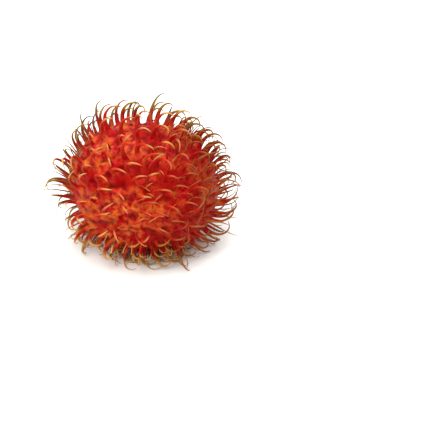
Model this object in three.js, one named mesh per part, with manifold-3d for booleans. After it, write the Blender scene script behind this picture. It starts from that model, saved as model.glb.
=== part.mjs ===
// A whole rambutan lying on its side, in millimetres, +Z up. Its rind is one body: an egg-shaped shell whose
// surface rises into a soft hooked spintern at every point of a spiral lattice. The stem end faces -X and the
// blossom end +X. The origin is the middle of the small flat spot on the belly that the fruit rests on.

import * as THREE from "three";
import { ConvexGeometry } from "three/addons/geometries/ConvexGeometry.js";
import { mergeVertices } from "three/addons/utils/BufferGeometryUtils.js";
import Module from "manifold-3d";

// The rind without its spinterns.
const rindLength = 50.5; // stem end to blossom end
const rindWidth = 41.5;
const rindHeight = 41;
const blossomEndSwell = 0.02; // how much fuller the blossom half is than the stem half, as a share
const bellyPress = 0.45; // how deep the belly is pressed flat where it rests

// The round scar where the stalk broke off.
const scarRadius = 3.4;
const scarRise = 0.7; // height of its rim over the rind
const scarDish = 0.6; // depth of its middle below the rim
const scarSides = 12;
const scarClearance = 1.5; // radius round it that is left bare, over its own

// The spinterns: soft hooked hairs, each on a broad foot.
const spinternCount = 250;
const shortestSpintern = 9.8;
const longestSpintern = 15.2;
const widestFoot = 2.4; // radius of the mound that it rises from
const footRoom = 0.46; // that radius over the way to the nearest other spintern, at most
const rootDepth = 2; // how far its root reaches below the surface
const shaftRadius = 1.15; // just above the foot
const tipRadius = 0.3; // one step short of the pointed end
const flatness = 0.8; // its thickness across the way it bends, over its width along it
const leastHook = 105; // degrees that it turns from foot to tip
const mostHook = 255;
const endOpening = 0.22; // how much straighter they are at the fruit's two ends, as a share
const hookRise = 2.1; // power of the length that the turn grows with, so the tip curls most
const backLean = 10; // degrees that it first leans away from the side it hooks to
const lift = 0.62; // how much a spintern on the fruit's flank first turns upwards, as a slope
const rise = 0.2; // how much its hook climbs towards the blossom end, as a slope
const hookSpread = 30; // degrees either way from the blossom end that most hooks point, on the rind
const twist = 60; // degrees that a hook winds about itself, at most
const latticeJitter = 0.18; // how far a foot strays from its lattice point, as a share of the spacing
const seed = 7341;

// How a spintern's bent centreline is stepped, and the steps at which the solid has corners.
const lineSteps = 24;
const cornerSteps = [0, 4, 10, 15, 19, 22, 24];
const spinternSides = 3;

const halfSize = new THREE.Vector3(rindLength / 2, rindWidth / 2, rindHeight / 2);
const centreHeight = halfSize.z - bellyPress;
const goldenAngle = Math.PI * (3 - Math.sqrt(5));
const radians = THREE.MathUtils.degToRad;

const wasm = await Module();
wasm.setup();

function solidOf(geometry) {
  const bare = geometry.clone().deleteAttribute("normal").deleteAttribute("uv");
  const merged = mergeVertices(bare, 1e-4);
  const mesh = new wasm.Mesh({
    numProp: 3,
    vertProperties: new Float32Array(merged.attributes.position.array),
    triVerts: new Uint32Array(merged.index.array),
  });
  return new wasm.Manifold(mesh);
}

function geometryOf(solid) {
  const { vertProperties, triVerts } = solid.getMesh();
  const geometry = new THREE.BufferGeometry();
  geometry.setAttribute("position", new THREE.BufferAttribute(vertProperties, 3));
  geometry.setIndex(new THREE.BufferAttribute(triVerts, 1));
  geometry.computeVertexNormals();
  return geometry;
}

// Park-Miller numbers from 0 to 1, the same on every run.
function makeRandom(start) {
  let state = start;
  return () => {
    state = (state * 16807) % 2147483647;
    return state / 2147483647;
  };
}

// The point of the bare rind that lies along a unit vector from the fruit's centre.
function rindPoint(along) {
  const fullness = 1 + blossomEndSwell * along.x;
  const point = along.clone().multiply(halfSize);
  point.y *= fullness;
  point.z *= fullness;
  point.z += centreHeight;
  return point;
}

// The rind's outward normal there.
function rindNormal(along) {
  return along.clone().divide(halfSize).normalize();
}

// The lattice points on a unit sphere, one for each spintern, on a spiral about the long axis. The first
// few round the stem scar are left out.
function spinternSites(random) {
  const spacing = Math.sqrt((4 * Math.PI) / spinternCount);
  const lastBare = -Math.sqrt(1 - ((scarClearance * scarRadius) / halfSize.y) ** 2);
  const sites = [];
  for (let i = 0; i < spinternCount; i++) {
    const x = 1 - (2 * (i + 0.5)) / spinternCount;
    const ring = Math.sqrt(1 - x * x);
    const turn = i * goldenAngle - Math.PI / 2;
    const stray = new THREE.Vector3(random() - 0.5, random() - 0.5, random() - 0.5);
    const along = new THREE.Vector3(x, ring * Math.cos(turn), ring * Math.sin(turn));
    along.addScaledVector(stray, 2 * latticeJitter * spacing).normalize();
    const traits = {
      length: THREE.MathUtils.lerp(shortestSpintern, longestSpintern, random()),
      hook: radians(THREE.MathUtils.lerp(leastHook, mostHook, random())) * (1 - endOpening * x * x),
      heading: radians(hookSpread) * (random() + random() - 1) * 2,
      lean: radians(backLean) * (0.4 + 1.2 * random()),
      twist: radians(twist) * (random() - 0.5) * 2,
    };
    if (x > lastBare) sites.push({ along, ...traits });
  }
  for (const site of sites) site.footRadius = footRadius(site, sites);
  return sites;
}

// As broad as the nearest other spintern leaves room for.
function footRadius(site, sites) {
  const place = rindPoint(site.along);
  const others = sites.filter((other) => other !== site);
  const nearest = Math.min(...others.map((other) => place.distanceTo(rindPoint(other.along))));
  return Math.min(widestFoot, footRoom * nearest);
}

// Radius of a spintern where a share of its length has grown, from foot to tip.
function spinternRadius(share) {
  return tipRadius + (shaftRadius - tipRadius) * (1 - share) ** 1.2;
}

// The centreline of one spintern, as points with the way it runs and the way it bends. It leans back and up,
// hooks over more and more towards its tip, winds a little, and slides along the table where it meets it.
function spinternLine(site) {
  const normal = rindNormal(site.along);
  const toBlossom = new THREE.Vector3(1, 0, 0).addScaledVector(normal, -normal.x);
  if (toBlossom.length() < 0.25) toBlossom.add(new THREE.Vector3(0, 0.2, 0.4));
  const bend = toBlossom.projectOnPlane(normal).normalize();
  bend.applyAxisAngle(normal, site.heading);
  const way = normal.clone();
  const side = new THREE.Vector3().crossVectors(way, bend);
  way.applyAxisAngle(side, -site.lean);
  way.z += lift * (1 - normal.z * normal.z) * (1 + normal.z);
  way.normalize();
  bend.z += rise;
  bend.projectOnPlane(way).normalize();

  const step = site.length / lineSteps;
  const point = rindPoint(site.along);
  const line = [];
  for (let i = 0; i <= lineSteps; i++) {
    const share = i / lineSteps;
    const lowest = 0.5 * spinternRadius(share);
    point.z = Math.max(point.z, lowest);
    line.push({ point: point.clone(), way: way.clone(), bend: bend.clone() });
    const turned = site.hook * (((i + 1) / lineSteps) ** hookRise - share ** hookRise);
    side.crossVectors(way, bend).normalize();
    way.applyAxisAngle(side, turned);
    bend.applyAxisAngle(side, turned).applyAxisAngle(way, site.twist / lineSteps);
    const drop = lowest - point.z;
    if (way.z * step < drop) {
      way.z = drop / step;
      way.normalize();
      bend.projectOnPlane(way).normalize();
    }
    point.addScaledVector(way, step);
  }
  return line;
}

// The corners of a spintern's foot, on the rind.
function footCorners(site) {
  const normal = rindNormal(site.along);
  const ahead = spinternLine(site)[0].bend.projectOnPlane(normal).normalize();
  const aside = new THREE.Vector3().crossVectors(normal, ahead);
  const corners = [];
  for (let k = 0; k < spinternSides; k++) {
    const angle = (k / spinternSides) * 2 * Math.PI;
    const reach = ahead.clone().multiplyScalar(Math.cos(angle)).addScaledVector(aside, Math.sin(angle));
    reach.multiplyScalar(site.footRadius).divide(halfSize);
    corners.push(rindPoint(reach.add(site.along).normalize()));
  }
  return corners;
}

// The rind is spanned between the feet, so every spintern stands on a facet of its own. A ring of corners
// more carries it round the bare stem end.
function makeRind(sites) {
  const corners = sites.flatMap(footCorners);
  const bareRing = (scarClearance * scarRadius) / halfSize.y;
  for (let k = 0; k < scarSides; k++) {
    const angle = (k / scarSides) * 2 * Math.PI;
    const along = new THREE.Vector3(-1, bareRing * Math.cos(angle), bareRing * Math.sin(angle));
    corners.push(rindPoint(along.normalize()));
  }
  return solidOf(new ConvexGeometry(corners));
}

// A low woody dish on the stem end, turned about the fruit's long axis.
function makeScar() {
  const foot = -2;
  const profile = [
    [0, foot],
    [scarRadius * 1.15, foot],
    [scarRadius, scarRise * 0.8],
    [scarRadius * 0.8, scarRise],
    [scarRadius * 0.35, scarRise - scarDish],
    [0, scarRise - scarDish],
  ].map(([across, up]) => new THREE.Vector2(across, up));
  const geometry = new THREE.LatheGeometry(profile, scarSides);
  geometry.rotateZ(Math.PI / 2);
  geometry.translate(-halfSize.x, 0, centreHeight);
  return solidOf(geometry);
}

// One spintern as a cone bent onto its centreline. The cone's base is pulled down into a root.
function makeSpintern(site) {
  const line = spinternLine(site);
  const root = rindPoint(site.along).addScaledVector(rindNormal(site.along), -rootDepth);
  const feet = footCorners(site);
  const segments = cornerSteps.length - 1;
  const geometry = new THREE.ConeGeometry(1, 1, spinternSides, segments);
  const position = geometry.attributes.position;
  const place = new THREE.Vector3();
  for (let i = 0; i < position.count; i++) {
    place.fromBufferAttribute(position, i);
    const height = place.y + 0.5;
    const angle = Math.atan2(place.x, place.z);
    const level = Math.round(height * segments);
    if (level === 0 && Math.hypot(place.x, place.z) < 0.5) {
      place.copy(root);
    } else if (level === 0) {
      const k = Math.round((angle / (2 * Math.PI)) * spinternSides);
      place.copy(feet[(k + spinternSides) % spinternSides]);
    } else {
      const { point, way, bend } = line[cornerSteps[level]];
      const radius = level === segments ? 0 : spinternRadius(cornerSteps[level] / lineSteps);
      const side = new THREE.Vector3().crossVectors(way, bend);
      place.copy(point);
      place.addScaledVector(bend, Math.cos(angle) * radius);
      place.addScaledVector(side, Math.sin(angle) * radius * flatness);
    }
    position.setXYZ(i, place.x, place.y, place.z);
  }
  return solidOf(geometry);
}

// Everything below the table's surface, taken away to leave the flat spots that the fruit rests on.
function makeTable() {
  const size = 4 * rindLength;
  const geometry = new THREE.BoxGeometry(size, size, size);
  geometry.translate(0, 0, -size / 2);
  return solidOf(geometry);
}

function makeFruit() {
  const sites = spinternSites(makeRandom(seed));
  let fruit = makeRind(sites).add(makeScar());
  for (const site of sites) fruit = fruit.add(makeSpintern(site));
  const bodies = fruit.subtract(makeTable()).decompose();
  return bodies.reduce((largest, body) => (body.volume() > largest.volume() ? body : largest));
}

const rambutan = new THREE.Group();
const rind = new THREE.MeshStandardMaterial({ color: 0xc42a18, roughness: 0.45, metalness: 0 });
const fruitMesh = new THREE.Mesh(geometryOf(makeFruit()), rind);
fruitMesh.name = "rambutan";
rambutan.add(fruitMesh);

export default rambutan;
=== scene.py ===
# Looks for the whole rambutan: one closed skin that grows into every spintern, its ripe colours, and a
# plain pale studio. Blender units are metres, so sizes are written as millimetres times mm.
import math

import bmesh
import bpy
import numpy as np
from mathutils import Matrix, Quaternion, Vector, kdtree, noise


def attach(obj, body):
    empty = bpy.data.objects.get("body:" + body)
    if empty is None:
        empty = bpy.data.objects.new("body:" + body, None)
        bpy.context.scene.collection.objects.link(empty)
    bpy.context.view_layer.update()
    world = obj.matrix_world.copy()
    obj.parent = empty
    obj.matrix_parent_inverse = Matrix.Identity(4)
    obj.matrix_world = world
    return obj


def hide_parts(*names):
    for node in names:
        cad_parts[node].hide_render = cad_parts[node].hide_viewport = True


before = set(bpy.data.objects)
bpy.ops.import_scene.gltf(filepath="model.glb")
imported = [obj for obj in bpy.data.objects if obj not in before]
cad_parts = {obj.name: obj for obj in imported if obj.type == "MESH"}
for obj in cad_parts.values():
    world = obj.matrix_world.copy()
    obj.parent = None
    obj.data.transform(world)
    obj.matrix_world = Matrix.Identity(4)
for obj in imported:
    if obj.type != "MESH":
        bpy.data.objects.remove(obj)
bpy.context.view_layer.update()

mm = 0.001
goldenAngle = math.pi * (3 - math.sqrt(5))
print("rambutan: frame loaded")


camera = {
    "azimuth": 25,            # degrees round from the fruit's long flank towards the blossom end
    "elevation": 32,
    "distance": 550 * mm,
    "frameWidth": 145 * mm,   # what the picture spans at that distance
    "sensor": 36,
    "nearest": 10 * mm,       # what is closer to the camera than this doesn't show
    "aside": 24.2 * mm,       # the aim lies this far to the right of the fruit's middle
    "below": 10.1 * mm,       # and this far under it, as the camera sees them
    "fruitMiddle": 20.1 * mm,
}


def setCamera(c):
    azimuth, elevation = math.radians(c["azimuth"]), math.radians(c["elevation"])
    back = Vector((math.sin(azimuth) * math.cos(elevation),
                   -math.cos(azimuth) * math.cos(elevation),
                   math.sin(elevation)))
    right = Vector((math.cos(azimuth), math.sin(azimuth), 0))
    up = back.cross(right)
    aim = Vector((0, 0, c["fruitMiddle"])) + right * c["aside"] - up * c["below"]
    data = bpy.data.cameras.new("studioCamera")
    data.sensor_width = c["sensor"]
    data.lens = c["sensor"] * c["distance"] / c["frameWidth"]
    data.clip_start = c["nearest"]
    body = bpy.data.objects.new("studioCamera", data)
    bpy.context.collection.objects.link(body)
    turned = Matrix((right, up, back)).transposed().to_4x4()
    body.matrix_world = Matrix.Translation(aim + back * c["distance"]) @ turned
    bpy.context.scene.camera = body


setCamera(camera)
print("rambutan: camera set")

# the rule that the spinterns grow by is the solid's own
rind = {
    "halfLength": 50.5 * mm / 2,
    "halfWidth": 41.5 * mm / 2,
    "halfHeight": 41 * mm / 2,
    "blossomEndSwell": 0.02,  # how much fuller the blossom half is than the stem half, as a share
    "bellyPress": 0.45 * mm,  # how deep the belly is pressed flat on the table
}
scar = {                      # the woody disc where the stalk broke off
    "radius": 3.4 * mm,
    "clearance": 1.5,         # times its radius, within which no spintern grows
    "reach": 2,               # times its radius, beyond which it leaves the rind as it is
    "rise": 0.8 * mm,
    "dish": 0.75 * mm,
    "cracks": 9,
    "crackDepth": 0.3 * mm,
    "crackEdges": (0.1, 0.9),   # where they start and are deepest, on the wave round the scar
    "crackWander": 5,         # radians of that wave that they stray by, in bends of the next size
    "bendSize": 2 * mm,
    "rimFade": (0.95, 1.35),  # the shares of the radius between which this and the next six change
    "dishFade": (0.3, 0.85),
    "woodFade": (1, 1.15),
    "cracksBegin": (0.25, 0.4),
    "cracksEnd": (0.8, 1),
    "heart": (0.22, 0.1),
    "rindBegins": (1, 1.8),
    "points": 330,            # of the skin's mesh, closer together within the next length than elsewhere
    "pointReach": 4.8 * mm,
}
spintern = {
    "count": 250,
    "shortest": 9.8 * mm,
    "longest": 15.2 * mm,
    "shaftRadius": 1.15 * mm,   # this and the next two are the solid's
    "tipRadius": 0.3 * mm,
    "taper": 1.2,
    "tableRest": 0.5,         # how low the middle line may lie on the table, as a share of that radius
    "leastHook": 105,         # degrees that one turns from foot to tip
    "mostHook": 255,
    "hookRise": 2.1,          # power of the length that the hook grows with, so the tip curls most
    "hookSpread": 30,         # degrees either way from the blossom end that most hooks point
    "endOpening": 0.22,       # how much less they hook at the fruit's two ends
    "endSine": 0.25,          # nearer to either end than this, the sine of the angle to it,
    "endBend": (0, 0.2, 0.4),   # they bend this way as well
    "leastLean": 4,           # how far they first lean away from the side they hook to
    "mostLean": 16,
    "lift": 0.62,             # how much one on the fruit's flank first turns upwards, as a slope
    "rise": 0.2,              # and how much its hook climbs
    "twist": 60,              # degrees that a hook winds about itself, at most
    "jitter": 0.18,           # how far a foot strays, as a share of the way to the next
    "seed": 7341,
    "steps": 24,
    "ringSteps": (2, 4, 7, 10, 13, 16, 18, 20, 22),
    "sides": 5,               # doubled by the smoothing, as the rings are
    "foot": 1,
    "leastGirth": 0.88,       # the longer ones are the thicker
    "mostGirth": 1.14,
    "endThinning": 0.25,      # how much thinner they are at the fruit's two ends
}
fineSpintern = {              # thinner ones between them, crowded towards both ends
    **spintern,
    "count": 1700,
    "ringSteps": (2, 5, 9, 13, 16, 18, 20, 22),
    "sides": 4,
    "shortest": 8.5 * mm,
    "longest": 14.5 * mm,
    "leastHook": 70,
    "mostHook": 260,
    "hookSpread": 60,
    "jitter": 0.3,
    "seed": 911,
    "foot": 0.42,
    "leastGirth": 0.5,
    "mostGirth": 0.64,
    "apart": 2.2 * mm,
    "blossomFrom": 0.3,       # they grow past these shares of the half length and half height
    "stemFrom": -0.75,
    "undersideFrom": -0.4,
}

halfSize = Vector((rind["halfLength"], rind["halfWidth"], rind["halfHeight"]))
centreHeight = rind["halfHeight"] - rind["bellyPress"]


# Park-Miller numbers from 0 to 1, the same on every run.
def makeRandom(seed):
    state, multiplier, modulus = seed, 16807, 2147483647

    def draw():
        nonlocal state
        state = state * multiplier % modulus
        return state / modulus

    return draw


def partWay(low, high, share):
    return low + (high - low) * share


def over(a, b):
    return Vector((a.x / b.x, a.y / b.y, a.z / b.z))


def flatTo(vector, normal):
    return (vector - normal * vector.dot(normal)).normalized()


# The point of the bare rind that lies along a unit vector from the fruit's centre.
def rindPoint(along):
    fullness = 1 + rind["blossomEndSwell"] * along.x
    return Vector((along.x * halfSize.x,
                   along.y * halfSize.y * fullness,
                   along.z * halfSize.z * fullness + centreHeight))


def rindNormal(along):
    return over(along, halfSize).normalized()


# One of the evenly spread points of a spiral on the unit sphere, from the blossom end to the stem end.
def spiralPoint(i, count):
    x = 1 - 2 * (i + 0.5) / count
    ring = math.sqrt(1 - x * x)
    turn = i * goldenAngle - math.pi / 2
    return Vector((x, ring * math.cos(turn), ring * math.sin(turn)))


def spinternSites(s):
    random = makeRandom(s["seed"])
    spacing = math.sqrt(4 * math.pi / s["count"])
    lastBare = -math.sqrt(1 - (scar["clearance"] * scar["radius"] / halfSize.y) ** 2)
    found = []
    for i in range(s["count"]):
        lattice = spiralPoint(i, s["count"])
        endness = lattice.x ** 2
        stray = Vector((random() - 0.5, random() - 0.5, random() - 0.5))
        site = {"along": (lattice + stray * 2 * s["jitter"] * spacing).normalized(), "kind": s}
        size = random()
        site["length"] = partWay(s["shortest"], s["longest"], size)
        site["girth"] = partWay(s["leastGirth"], s["mostGirth"], size) * (1 - s["endThinning"] * endness)
        hook = partWay(s["leastHook"], s["mostHook"], random())
        site["hook"] = math.radians(hook) * (1 - s["endOpening"] * endness)
        site["heading"] = math.radians(s["hookSpread"]) * (random() + random() - 1) * 2
        site["lean"] = math.radians(partWay(s["leastLean"], s["mostLean"], random()))
        site["twist"] = math.radians(s["twist"]) * (random() - 0.5) * 2
        if lattice.x > lastBare:
            found.append(site)
    return found


def radiusAt(share, k):
    return partWay(k["tipRadius"], k["shaftRadius"], (1 - share) ** k["taper"])


# The middle line of one spintern, as points with the way it runs and the way it bends. It leans back
# and up, hooks over more and more towards its tip, winds a little, and slides along the table it meets.
def spinternLine(site):
    s, normal = site["kind"], rindNormal(site["along"])
    toBlossom = Vector((1, 0, 0)) - normal * normal.x
    if toBlossom.length < s["endSine"]:
        toBlossom += Vector(s["endBend"])
    bend = flatTo(toBlossom, normal)
    bend.rotate(Quaternion(normal, site["heading"]))
    way = normal.copy()
    way.rotate(Quaternion(way.cross(bend), -site["lean"]))
    way.z += s["lift"] * (1 - normal.z * normal.z) * (1 + normal.z)
    way.normalize()
    bend.z += s["rise"]
    bend = flatTo(bend, way)

    step = site["length"] / s["steps"]
    point = rindPoint(site["along"])
    line = []
    for i in range(s["steps"] + 1):
        share = i / s["steps"]
        lowest = s["tableRest"] * radiusAt(share, s)
        point.z = max(point.z, lowest)
        line.append((point.copy(), way.copy(), bend.copy()))
        turned = site["hook"] * (((i + 1) / s["steps"]) ** s["hookRise"] - share ** s["hookRise"])
        turn = Quaternion(way.cross(bend).normalized(), turned)
        way.rotate(turn)
        bend.rotate(turn)
        bend.rotate(Quaternion(way, site["twist"] / s["steps"]))
        drop = lowest - point.z
        if way.z * step < drop:
            way.z = drop / step
            way.normalize()
            bend = flatTo(bend, way)
        point += way * step
    return line


def hasRoom(site, others):
    s, along, place = site["kind"], site["along"], rindPoint(site["along"])
    if s["stemFrom"] <= along.x <= s["blossomFrom"] and along.z >= s["undersideFrom"]:
        return False
    return all((place - rindPoint(other["along"])).length > s["apart"] for other in others)


sites = spinternSites(spintern)
for site in spinternSites(fineSpintern):
    if hasRoom(site, sites):
        sites.append(site)
for site in sites:
    site["line"] = spinternLine(site)
print(f"rambutan: {len(sites)} spinterns placed")


skin = {
    "points": 4450,           # spread over the whole rind, less those that fall in a foot
    "footRing": 1.6 * mm,     # where the skin's mesh hands over to the spintern's
    "clearance": 0.5 * mm,
    "footShare": 0.86,        # of the room between two neighbours that their feet may fill
    "neighbours": 4,          # how many of the nearest that is looked at for
    "mounds": 3,              # how many of the nearest a point of the skin may lie on
    "moundHeight": 1.3 * mm,
    "moundRadius": 3.1 * mm,
    "valleyDepth": 0.4 * mm,
    "valleyWidth": 1.4 * mm,
    "valleyBegins": (0.96 * mm, 2.56 * mm),   # how far from a foot's middle it starts and is full
    "lumpHeight": 0.16 * mm,
    "lumpSize": 2.6 * mm,
    "shaftRadius": 1.35 * mm,
    "tipRadius": 0.2 * mm,
    "taper": 1.3,
    "shrivel": 0.35,          # how much thinner a withered one's end is, by the same mark that also holds the painted shade away from the light
    "baseFlatness": 0.72,     # a spintern is thinner across the way it bends
    "tipFlatness": 0.95,
}
dryingAndShade = {                    # what makes a spintern's tip withered and brown, and what paints shade on the side away from the light, each as its share of the whole
    "shadeAwayFromLit": 0.55,
    "stemward": 0.4,
    "luck": 0.5,
    "plainLuck": 0.3,         # the luck that changes nothing, which the skin between them has
    "litSide": Vector((-0.2, -0.75, 0.42)),
    "litSideFade": (0.62, 0),   # where the painted shade starts and is full, away from there
    "stemFade": (0.4, 0.9),   # and where the real withering does so, towards the stem end
}
bakeMap = {                   # the skin unrolled: a disc for each half of the fruit, and cells below them
    "discRadius": 0.238,      # all as shares of the map, apart from the columns and the cells' margins
    "discAside": 0.25,
    "discHeight": 0.75,
    "cellColumns": 44,
    "cellMargin": (0.06, 0.04),
}


def smoothStep(low, high, value):
    t = min(max((value - low) / (high - low), 0), 1)
    return t * t * (3 - 2 * t)


siteTree = kdtree.KDTree(len(sites))
for index, site in enumerate(sites):
    siteTree.insert(rindPoint(site["along"]), index)
siteTree.balance()
for site in sites:   # feet that would meet are made smaller
    wanted = skin["footRing"] * site["kind"]["foot"]
    site["ring"] = wanted
    for _, index, away in siteTree.find_n(rindPoint(site["along"]), 1 + skin["neighbours"])[1:]:
        shared = wanted + skin["footRing"] * sites[index]["kind"]["foot"]
        site["ring"] = min(site["ring"], skin["footShare"] * away * wanted / shared)


# The scar's height over the rind, then from 0 to 1 how deep in a crack the place lies and how woody it
# is. Its way from the scar's middle is given as a share of the radius.
def scarRelief(place, share):
    rim = scar["rise"] * (1 - smoothStep(*scar["rimFade"], share))
    dish = scar["dish"] * (1 - smoothStep(*scar["dishFade"], share))
    woody = 1 - smoothStep(*scar["woodFade"], share)
    angle = math.atan2(place.y, place.z - centreHeight)
    wander = scar["crackWander"] * noise.noise(place / scar["bendSize"])
    crack = smoothStep(*scar["crackEdges"], math.cos(scar["cracks"] * angle + wander))
    crack *= smoothStep(*scar["cracksBegin"], share) * (1 - smoothStep(*scar["cracksEnd"], share))
    crack = max(crack, smoothStep(*scar["heart"], share))
    return rim - dish - crack * scar["crackDepth"], crack, woody


# How far the skin stands over the bare rind, then from 0 to 1 how deep between the mounds or in a crack
# it lies, which also sets the painted shade there, and how woody it is.
def skinRelief(along, k):
    place = rindPoint(along)
    around = siteTree.find_n(place, k["mounds"])
    mound = 0
    for _, index, away in around:
        foot = sites[index]["kind"]["foot"]
        closeness = max(0, 1 - (away / (k["moundRadius"] * foot ** 0.5)) ** 2)
        mound = max(mound, k["moundHeight"] * foot * closeness ** 2)
    nearest, second = around[0][2], around[1][2]
    # how far down between two feet the point lies: the skin sinks there, and the same share paints shade
    # there
    valley = 1 - smoothStep(0, k["valleyWidth"], second - nearest)
    valley *= smoothStep(*k["valleyBegins"], nearest)
    lump = noise.noise(place / k["lumpSize"]) * k["lumpHeight"]
    height = mound - valley * k["valleyDepth"] + lump

    share = math.hypot(place.y, place.z - centreHeight) / scar["radius"]
    if along.x > 0 or share > scar["reach"]:
        return height, valley, 0
    scarHeight, crack, woody = scarRelief(place, share)
    height = height * smoothStep(*scar["rindBegins"], share) + scarHeight
    return height, valley * (1 - woody) + crack, woody


# 0 for a spintern with a fresh golden tip, 1 for a withered brown one; the side away from the light gets
# more of it, which paints shade there.
def drynessAndShade(along, luck, d):
    share = d["shadeAwayFromLit"] * smoothStep(*d["litSideFade"], along.dot(d["litSide"]))
    share += d["stemward"] * smoothStep(*d["stemFade"], -along.x)
    share += d["luck"] * (luck - d["plainLuck"])
    return min(1, max(0, share))


# Where a point of one half of the fruit, 1 for the blossom half and -1 for the other, lies on its disc.
def discPlace(along, half):
    reach = bakeMap["discRadius"] * math.sqrt(1 - half * along.x)
    turn = math.atan2(along.z, half * along.y)
    return (0.5 + bakeMap["discAside"] * half + reach * math.cos(turn),
            bakeMap["discHeight"] + reach * math.sin(turn))


# Where a point of a spintern lies in its cell, by its shares of the way round it and out to its tip.
def cellPlace(index, around, outward):
    columns, (aside, below) = bakeMap["cellColumns"], bakeMap["cellMargin"]
    rows = math.ceil(len(sites) / columns)
    column, row = index % columns, index // columns
    return ((column + partWay(aside, 1 - aside, around)) / columns,
            (row + partWay(below, 1 - below, outward)) / rows / 2)


def footCorners(site):
    normal = rindNormal(site["along"])
    ahead = flatTo(site["line"][0][2], normal)
    aside = normal.cross(ahead)
    sides = site["kind"]["sides"]
    corners = []
    for side in range(sides):
        angle = 2 * math.pi * side / sides
        reach = (ahead * math.cos(angle) + aside * math.sin(angle)) * site["ring"]
        corners.append((site["along"] + over(reach, halfSize)).normalized())
    return corners


# Unit vectors to all that the skin's mesh runs through, each with the spintern whose foot has it as a
# corner: first these corners, then what lies between the feet.
def skinPoints(k):
    alongs, owners = [], []
    for index, site in enumerate(sites):
        corners = footCorners(site)
        alongs += corners
        owners += [index] * len(corners)
    spread = []
    for i in range(k["points"]):
        along = spiralPoint(i, k["points"])
        fromScar = math.hypot(along.y * halfSize.y, along.z * halfSize.z)
        if along.x > 0 or fromScar > scar["pointReach"]:
            spread.append(along)
    for i in range(scar["points"]):
        out = scar["pointReach"] * math.sqrt((i + 0.5) / scar["points"])
        turn = i * goldenAngle
        y, z = out * math.cos(turn) / halfSize.y, out * math.sin(turn) / halfSize.z
        spread.append(Vector((-math.sqrt(1 - y * y - z * z), y, z)))
    for along in spread:
        if siteTree.find(rindPoint(along))[2] > k["footRing"] + k["clearance"]:
            alongs.append(along)
            owners.append(None)
    return alongs, owners


# Triangles between points of the unit sphere, all facing out.
def spanned(points):
    bm = bmesh.new()
    for point in points:
        bm.verts.new(point)
    bm.verts.index_update()
    bmesh.ops.convex_hull(bm, input=bm.verts)
    triangles = []
    for face in bm.faces:
        corners = [v.index for v in face.verts]
        outward = face.normal.dot(face.calc_center_median()) > 0
        triangles.append(corners if outward else corners[::-1])
    bm.free()
    return triangles


skinSlot, spinternSlot = 0, 1   # the order that their two materials come in


# The skin's mesh while it grows. Its marks, and its fibre, which says where on which spintern a point
# lies, are for the materials.
class GrowingSkin:
    def __init__(self):
        self.verts, self.fibre = [], []
        self.faces, self.slots, self.unrolled = [], [], []
        self.marks = {"growth": [], "valley": [], "wood": [], "tone": []}

    def addVert(self, point, fibre=(0, 0, 0), **values):
        self.verts.append(tuple(point))
        self.fibre.append(fibre)
        for name, mark in self.marks.items():
            mark.append(values.get(name, 0))
        return len(self.verts) - 1

    def addFace(self, corners, slot, unrolled):
        self.faces.append(corners)
        self.slots.append(slot)
        self.unrolled += unrolled

    def finished(self):
        mesh = bpy.data.meshes.new("rambutanSkin")
        mesh.from_pydata(self.verts, [], self.faces)
        for name, mark in self.marks.items():
            mesh.attributes.new(name, "FLOAT", "POINT").data.foreach_set("value", mark)
        fibre = mesh.attributes.new("fibre", "FLOAT_VECTOR", "POINT")
        fibre.data.foreach_set("vector", np.ravel(self.fibre))
        mesh.polygons.foreach_set("material_index", self.slots)
        mesh.uv_layers.new(name="OFBake").uv.foreach_set("vector", np.ravel(self.unrolled))
        return mesh


def growRind(growing, k):
    alongs, owners = skinPoints(k)
    for along in alongs:
        height, low, woody = skinRelief(along, k)
        # the skin gets the darkening towards the stem end, and painted shade on the side away from the
        # light
        growing.addVert(rindPoint(along) + rindNormal(along) * height,
                        valley=low, wood=woody, tone=drynessAndShade(along, dryingAndShade["plainLuck"], dryingAndShade))
    for corners in spanned(alongs):
        feet = {owners[corner] for corner in corners}
        if len(feet) > 1 or None in feet:   # a foot's own faces give way to its spintern
            half = 1 if sum(alongs[corner].x for corner in corners) > 0 else -1
            growing.addFace(corners, skinSlot, [discPlace(alongs[corner], half) for corner in corners])


# One spintern on the corners that its foot has in the skin, ring by ring and up to its tip.
def growSpintern(growing, k, index, foot, tone):
    site, kind = sites[index], sites[index]["kind"]
    sides, rings = kind["sides"], len(kind["ringSteps"]) + 1

    def unrolled(side, level, outline):
        return [cellPlace(index, (side + across) / sides, (level + up) / rings) for across, up in outline]

    angles = [2 * math.pi * side / sides for side in range(sides)]
    below = list(range(foot, foot + sides))
    for vert, angle in zip(below, angles):
        growing.marks["tone"][vert] = tone
        growing.fibre[vert] = (math.cos(angle), math.sin(angle), index)
    for level, step in enumerate(kind["ringSteps"]):
        point, way, bend = site["line"][step]
        share = step / kind["steps"]
        radius = radiusAt(share, k)
        radius *= site["girth"] * (1 - k["shrivel"] * tone * share)
        aside = way.cross(bend) * partWay(k["baseFlatness"], k["tipFlatness"], share)
        ring = []
        for angle in angles:
            reach = bend * math.cos(angle) + aside * math.sin(angle)
            fibre = (math.cos(angle), math.sin(angle), index + share)
            ring.append(growing.addVert(point + reach * radius, fibre, growth=share, tone=tone))
        for side in range(sides):
            after = (side + 1) % sides
            growing.addFace((below[side], below[after], ring[after], ring[side]), spinternSlot,
                            unrolled(side, level, ((0, 0), (1, 0), (1, 1), (0, 1))))
        below = ring
    tip = growing.addVert(site["line"][-1][0], (0, 0, index + 1), growth=1, tone=tone)
    for side in range(sides):
        growing.addFace((below[side], below[(side + 1) % sides], tip), spinternSlot,
                        unrolled(side, rings - 1, ((0, 0), (1, 0), (0.5, 1))))


def growSkin(k):
    growing = GrowingSkin()
    growRind(growing, k)
    random = makeRandom(spintern["seed"] + 1)
    foot = 0
    for index, site in enumerate(sites):
        growSpintern(growing, k, index, foot, drynessAndShade(site["along"], random(), dryingAndShade))
        foot += site["kind"]["sides"]
    return growing.finished()


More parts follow.
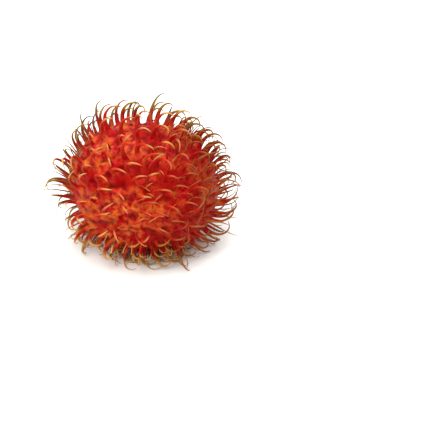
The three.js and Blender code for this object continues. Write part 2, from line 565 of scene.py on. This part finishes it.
def smoothed(mesh, name):
    rough = bpy.data.objects.new(name, mesh)
    bpy.context.collection.objects.link(rough)
    rounding = rough.modifiers.new("rounding", "SUBSURF")
    rounding.levels = rounding.render_levels = 1
    rounding.uv_smooth = "NONE"
    graph = bpy.context.evaluated_depsgraph_get()
    rounded = rough.evaluated_get(graph)
    fine = bpy.data.meshes.new_from_object(rounded, preserve_all_data_layers=True, depsgraph=graph)
    rough.modifiers.clear()
    rough.data = fine
    return rough


# What lies on the table is pressed flat against it.
def pressOnTable(mesh):
    places = np.empty(len(mesh.vertices) * 3)
    mesh.vertices.foreach_get("co", places)
    places = places.reshape(-1, 3)
    places[:, 2] = np.maximum(places[:, 2], 0)
    mesh.vertices.foreach_set("co", places.ravel())
    mesh.update()


rambutan = smoothed(growSkin(skin), "rambutan_skin")
pressOnTable(rambutan.data)
rambutan.data.polygons.foreach_set("use_smooth", [True] * len(rambutan.data.polygons))
rambutan.data.calc_loop_triangles()
print(f"rambutan: skin grown, {len(rambutan.data.loop_triangles)} triangles")


# The linear colour of a screen colour, whose red, green and blue run from 0 to 255.
def colour(*screen):
    return [((c / 255 + 0.055) / 1.055) ** 2.4 if c > 10 else c / 3295 for c in screen] + [1]


class Tree:
    def __init__(self, tree):
        self.tree = tree
        tree.nodes.clear()

    def add(self, kind, inputs=None, **settings):
        node = self.tree.nodes.new(kind)
        for name, value in settings.items():
            setattr(node, name, value)
        for name, value in (inputs or {}).items():
            socket = node.inputs[name]
            if isinstance(value, bpy.types.NodeSocket):
                self.tree.links.new(value, socket)
            else:
                socket.default_value = value
        return node

    def math(self, operation, a, b=0.0, clamp=False):
        return self.add("ShaderNodeMath", {0: a, 1: b}, operation=operation, use_clamp=clamp).outputs[0]

    def ramp(self, value, low, high, toLow=0.0, toHigh=1.0):
        inputs = {"Value": value, "From Min": low, "From Max": high, "To Min": toLow, "To Max": toHigh}
        return self.add("ShaderNodeMapRange", inputs, interpolation_type="SMOOTHSTEP").outputs["Result"]

    # a Mix node has its two sockets for numbers at 2 and 3, and those for colours at 6 and 7
    def blend(self, share, a, b):
        return self.add("ShaderNodeMix", {0: share, 2: a, 3: b}).outputs[0]

    def mix(self, share, a, b):
        return self.add("ShaderNodeMix", {0: share, 6: a, 7: b}, data_type="RGBA").outputs[2]

    def noise(self, place, scale, detail=3.0, roughness=0.55):
        inputs = {"Vector": place, "Scale": scale, "Detail": detail, "Roughness": roughness}
        return self.add("ShaderNodeTexNoise", inputs).outputs["Fac"]

    def attribute(self, name, output="Fac"):
        return self.add("ShaderNodeAttribute", attribute_name=name).outputs[output]

    def place(self):
        return self.add("ShaderNodeTexCoord").outputs["Object"]

    def xyz(self, place):
        return self.add("ShaderNodeSeparateXYZ", {"Vector": place}).outputs


def newMaterial(name):
    material = bpy.data.materials.new(name)
    material.use_nodes = True
    return material, Tree(material.node_tree)


ripe = {
    "crimson": colour(156, 0, 4),
    "red": colour(190, 40, 12),
    "orange": colour(210, 106, 40),
    # the next darkens withered flesh, and paints shade on the side away from the light
    "deep": colour(112, 18, 8),
    "oliveFlesh": colour(126, 84, 34),
    "pink": colour(208, 40, 66),
    # the next is painted shade, near black-red, for between the mounds
    "valley": colour(86, 0, 0),
    "shaftRed": colour(136, 2, 2),
    "shaftBright": colour(186, 44, 16),
    "gold": colour(198, 150, 80),
    "salmon": colour(194, 114, 70),
    # olive, brown and maroon mark withered spinterns, and also paint shade on those away from the light
    "olive": colour(148, 116, 38),
    "brown": colour(100, 62, 30),
    "maroon": colour(124, 28, 14),
    "dryTip": colour(132, 62, 30),
    "wood": colour(128, 94, 62),
    "woodMid": colour(96, 68, 44),
    "woodDark": colour(48, 30, 18),
}
fleshPatches = {
    "broad": (95, 2),         # how many of each kind lie along a metre, then how fine and how rough
    "patches": (330, 4, 0.6),
    "specks": (1100, 3),
    "broadShift": (-0.34, 0.027, -0.332),   # these two choose where on the fruit the patches fall
    "patchShift": (0.074, 0.025, 0.375),
    "patchGrain": 0.5,        # how much of the fine grain each makes up
    "speckGrain": 0.5,
    "red": (0.36, 0.58),      # from here on, where a colour starts and is full, then how strong at both
    "orangeBroad": (0.42, 0.6, 0.1, 1),
    "orange": (0.4, 0.62),
    "pink": (0.5, 0.66),
    # the next makes the pink twice as strong on the fruit's top, as a painted highlight
    "pinkHighlightTop": (33 * mm, 41 * mm, 1, 2),
    "crimsonSpecks": (0.48, 0.32, 0, 0.4),
    "crimsonBroad": (0.5, 0.38, 0, 0.8),
    "nearStem": (-15 * mm, -26 * mm),
    "weathered": (0.4, 0.6, 0.25, 1),
    "deepWhenDriedAndShaded": (0.1, 0.7, 0, 0.45),
    "valley": 0.85,           # how strong the painted shade is at the bottom of the hollows between the mounds
}


# Red flesh in patches of crimson, orange and pink, with the pink stronger on top as a painted highlight,
# painted shade between the mounds and away from the light, and the fine grain that goes with them.
def makeFleshGroup(c, p):
    group = bpy.data.node_groups.new("ripeFlesh", "ShaderNodeTree")
    sockets = group.interface
    sockets.new_socket("Place", in_out="INPUT", socket_type="NodeSocketVector")
    sockets.new_socket("ValleyAndShade", in_out="INPUT", socket_type="NodeSocketFloat")
    sockets.new_socket("DryAndShaded", in_out="INPUT", socket_type="NodeSocketFloat")
    sockets.new_socket("Pinkness", in_out="INPUT", socket_type="NodeSocketFloat")
    sockets.new_socket("Colour", in_out="OUTPUT", socket_type="NodeSocketColor")
    sockets.new_socket("Grain", in_out="OUTPUT", socket_type="NodeSocketFloat")
    t = Tree(group)
    given = t.add("NodeGroupInput").outputs
    broadPlace = t.add("ShaderNodeMapping", {"Vector": given["Place"], "Location": p["broadShift"]})
    patchPlace = t.add("ShaderNodeMapping", {"Vector": given["Place"], "Location": p["patchShift"]})
    broad = t.noise(broadPlace.outputs["Vector"], *p["broad"])
    patches = t.noise(patchPlace.outputs["Vector"], *p["patches"])
    specks = t.noise(given["Place"], *p["specks"])
    spot = t.xyz(given["Place"])
    flesh = t.mix(t.ramp(patches, *p["red"]), c["crimson"], c["red"])
    orange = t.math("MULTIPLY", t.ramp(broad, *p["orangeBroad"]), t.ramp(patches, *p["orange"]))
    flesh = t.mix(orange, flesh, c["orange"])
    # pink specks all over, twice as strong on the top as a painted highlight
    pinkTopHighlight = t.math("MULTIPLY", given["Pinkness"], t.ramp(spot["Z"], *p["pinkHighlightTop"]))
    pink = t.math("MULTIPLY", t.ramp(specks, *p["pink"]), pinkTopHighlight, clamp=True)
    flesh = t.mix(pink, flesh, c["pink"])
    flesh = t.mix(t.ramp(specks, *p["crimsonSpecks"]), flesh, c["crimson"])
    flesh = t.mix(t.ramp(broad, *p["crimsonBroad"]), flesh, c["crimson"])
    nearStem = t.ramp(spot["X"], *p["nearStem"])
    weathered = t.math("MULTIPLY", nearStem, t.ramp(patches, *p["weathered"]))
    flesh = t.mix(weathered, flesh, c["oliveFlesh"])
    # painted shade: near black-red between the mounds and in cracks
    flesh = t.mix(t.math("MULTIPLY", given["ValleyAndShade"], p["valley"]), flesh, c["valley"])
    # darker where withered, and as painted shade on the side away from the light
    flesh = t.mix(t.ramp(given["DryAndShaded"], *p["deepWhenDriedAndShaded"]), flesh, c["deep"])
    grain = t.math("ADD", t.math("MULTIPLY", patches, p["patchGrain"]),
                   t.math("MULTIPLY", specks, p["speckGrain"]))
    t.add("NodeGroupOutput", {"Colour": flesh, "Grain": grain})
    return group


finish = {                    # what the skin and the spinterns share
    "pinkness": 0.5,
    "bumpStrength": 0.5,
    "bumpHeight": 0.6 * mm,
    "roughness": (0.35, 0.65, 0.3, 0.5),   # grain from and to, then roughness from and to
    "softness": 0.08,         # how much light goes in, how deep, and in which colours
    "softDepth": 0.8 * mm,
    "softColours": (1, 0.3, 0.1),
}


def fleshIn(t, group, place):
    return t.add("ShaderNodeGroup", node_tree=group, inputs={
        "Place": place, "ValleyAndShade": t.attribute("valley"), "DryAndShaded": t.attribute("tone"),
        "Pinkness": finish["pinkness"],
    }).outputs


def addFinish(t, surface, rough, relief, gloss):
    bump = t.add("ShaderNodeBump", {
        "Height": relief, "Strength": finish["bumpStrength"], "Distance": finish["bumpHeight"],
    })
    shader = t.add("ShaderNodeBsdfPrincipled", {
        "Base Color": surface, "Roughness": rough, "Normal": bump.outputs["Normal"],
        "Subsurface Weight": finish["softness"], "Subsurface Scale": finish["softDepth"],
        "Subsurface Radius": finish["softColours"],
        "Specular IOR Level": gloss["level"], "Specular Tint": gloss["tint"],
    })
    t.add("ShaderNodeOutputMaterial", {"Surface": shader.outputs["BSDF"]})


skinLook = {
    "gloss": {"level": 0.08, "tint": (1, 0.4, 0.35, 1)},
    "cork": 2400,             # how many specks of it lie along a metre of the scar
    "corkPale": (0.36, 0.6),  # where the pale wood starts and is full
}


def makeSkinMaterial(c, look, fleshGroup):
    material, t = newMaterial("ripeSkin")
    place = t.place()
    flesh = fleshIn(t, fleshGroup, place)
    bark = t.mix(t.ramp(t.noise(place, look["cork"]), *look["corkPale"]), c["woodMid"], c["wood"])
    # the scar's wood is darker in its cracks and between the mounds
    bark = t.mix(t.attribute("valley"), bark, c["woodDark"])
    surface = t.mix(t.attribute("wood"), flesh["Colour"], bark)
    rough = t.ramp(flesh["Grain"], *finish["roughness"])
    addFinish(t, surface, rough, flesh["Grain"], look["gloss"])
    return material


spinternLook = {
    "gloss": {"level": 0.12, "tint": (1, 0.65, 0.55, 1)},
    "streaks": (3.2, 2),      # how close together they lie, and how fine
    "tipKinds": (0.4, 1),     # the same for what makes one tip golden and another salmon
    "streakRed": (0.35, 0.7),   # from here on, where a colour starts and is full, then how strong at both
    "shaftBright": (0.4, 0.68),
    "shaftDryShade": (0.15, 0.55),
    "shaftDryShadeFoot": (0.08, 0.4),
    "salmon": (0.42, 0.6),
    "olive": (0.25, 0.5),
    "brown": (0.65, 0.95),
    # golden tips near the table are painted light thrown up from the floor
    "tableBounce": (14 * mm, 5 * mm),
    "tableBounceGold": 0.6,
    "blossomward": (12 * mm, 24 * mm, 0, 0.75),   # the ends are redder there
    "shaft": (0.1, 0.5, 0, 0.85),
    "tip": (0.64, 0.84),
    "tipDryShade": 0.45,           # how much sooner the tip's colour starts on a withered one, and on one in the painted shade away from the light
    "tipTableBounce": 0.12,     # and on one near the table, as painted light thrown up from the floor
    "veryTip": (0.84, 1, 0, 0.75),
    "grainEnds": (0, 0.2),    # where the skin's own grain gives way to streaks
    "streakHeight": 0.3,
    "roughness": (0.3, 0.7, 0.3, 0.45),
}


def makeSpinternMaterial(c, look, fleshGroup):
    material, t = newMaterial("spinternSkin")
    place = t.place()
    flesh = fleshIn(t, fleshGroup, place)
    growth, tone, fibre = t.attribute("growth"), t.attribute("tone"), t.attribute("fibre", "Vector")
    streaks = t.noise(fibre, *look["streaks"])
    shaft = t.mix(t.ramp(streaks, *look["streakRed"]), c["shaftRed"], c["red"])
    shaft = t.mix(t.ramp(growth, *look["shaftBright"]), shaft, c["shaftBright"])
    # the shafts turn maroon where withered, and as painted shade away from the light
    agedAndShaded = t.math("MULTIPLY", t.ramp(tone, *look["shaftDryShade"]), t.ramp(growth, *look["shaftDryShadeFoot"]))
    shaft = t.mix(agedAndShaded, shaft, c["maroon"])

    tip = t.mix(t.ramp(t.noise(fibre, *look["tipKinds"]), *look["salmon"]), c["gold"], c["salmon"])
    # the tips turn olive and brown where withered, and as painted shade away from the light
    tip = t.mix(t.ramp(tone, *look["olive"]), tip, c["olive"])
    tip = t.mix(t.ramp(tone, *look["brown"]), tip, c["brown"])
    spot = t.xyz(place)
    # painted light thrown up from the floor: tips near the table turn golden and start sooner
    tableBounce = t.ramp(spot["Z"], *look["tableBounce"])
    tip = t.mix(t.math("MULTIPLY", tableBounce, look["tableBounceGold"]), tip, c["gold"])
    tip = t.mix(t.ramp(spot["X"], *look["blossomward"]), tip, c["dryTip"])

    surface = t.mix(t.ramp(growth, *look["shaft"]), flesh["Colour"], shaft)
    tipStart = t.math("ADD", growth, t.math("MULTIPLY", tone, look["tipDryShade"]))
    tipStart = t.math("ADD", tipStart, t.math("MULTIPLY", tableBounce, look["tipTableBounce"]))
    surface = t.mix(t.ramp(tipStart, *look["tip"]), surface, tip)
    surface = t.mix(t.ramp(growth, *look["veryTip"]), surface, c["dryTip"])

    leaving = t.ramp(growth, *look["grainEnds"])
    relief = t.blend(leaving, flesh["Grain"], t.math("MULTIPLY", streaks, look["streakHeight"]))
    fleshRough = t.ramp(flesh["Grain"], *finish["roughness"])
    rough = t.blend(leaving, fleshRough, t.ramp(streaks, *look["roughness"]))
    addFinish(t, surface, rough, relief, look["gloss"])
    return material


fleshGroup = makeFleshGroup(ripe, fleshPatches)
rambutan.data.materials.append(makeSkinMaterial(ripe, skinLook, fleshGroup))
rambutan.data.materials.append(makeSpinternMaterial(ripe, spinternLook, fleshGroup))
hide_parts("rambutan")
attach(rambutan, "root")
print("rambutan: skin coloured")


studio = {
    "floorRadius": 0.8,       # further out it would be darker than the backdrop
    "floorSides": 96,
    "floor": colour(243, 247, 243),
    "floorLight": colour(247, 251, 247),
    "floorPatches": 12,       # how many of the lighter ones lie along a metre
    "floorRoughness": 0.7,
    "world": colour(255, 255, 255),
    "worldStrength": 0.6,
    "backdropStrength": 1.1,  # what shows behind the floor, as bright as the floor
    "lights": {   # place, size and power of each soft box, all aimed at the fruit
        "overhead": {"place": (0.03, 0.06, 0.8), "size": 1.1, "power": 10.6},
        "front": {"place": (-0.08, -0.7, 0.74), "size": 0.5, "power": 5.2},
    },
}


def layFloor(s):
    material, t = newMaterial("paleFloor")
    shade = t.mix(t.noise(t.place(), s["floorPatches"]), s["floor"], s["floorLight"])
    shader = t.add("ShaderNodeBsdfPrincipled", {"Base Color": shade, "Roughness": s["floorRoughness"]})
    t.add("ShaderNodeOutputMaterial", {"Surface": shader.outputs["BSDF"]})
    bpy.ops.mesh.primitive_circle_add(vertices=s["floorSides"], radius=s["floorRadius"], fill_type="NGON")
    floor = bpy.context.object
    floor.name = "studio_floor"
    floor.data.materials.append(material)


def setWorld(s):
    world = bpy.data.worlds.new("studioWorld")
    bpy.context.scene.world = world
    world.use_nodes = True
    t = Tree(world.node_tree)
    seen = t.add("ShaderNodeLightPath").outputs["Is Camera Ray"]
    strength = t.blend(seen, s["worldStrength"], s["backdropStrength"])
    backdrop = t.add("ShaderNodeBackground", {"Color": s["world"], "Strength": strength})
    t.add("ShaderNodeOutputWorld", {"Surface": backdrop.outputs["Background"]})


def setLights(s):
    aim = Vector((0, 0, camera["fruitMiddle"]))
    for name, light in s["lights"].items():
        data = bpy.data.lights.new(name, "AREA")
        data.size = light["size"]
        data.energy = light["power"]
        lamp = bpy.data.objects.new(name, data)
        bpy.context.collection.objects.link(lamp)
        lamp.location = light["place"]
        lamp.rotation_euler = (Vector(light["place"]) - aim).to_track_quat("Z", "Y").to_euler()


layFloor(studio)
setWorld(studio)
setLights(studio)
bpy.context.scene.view_settings.view_transform = "Standard"
print("rambutan: studio set")
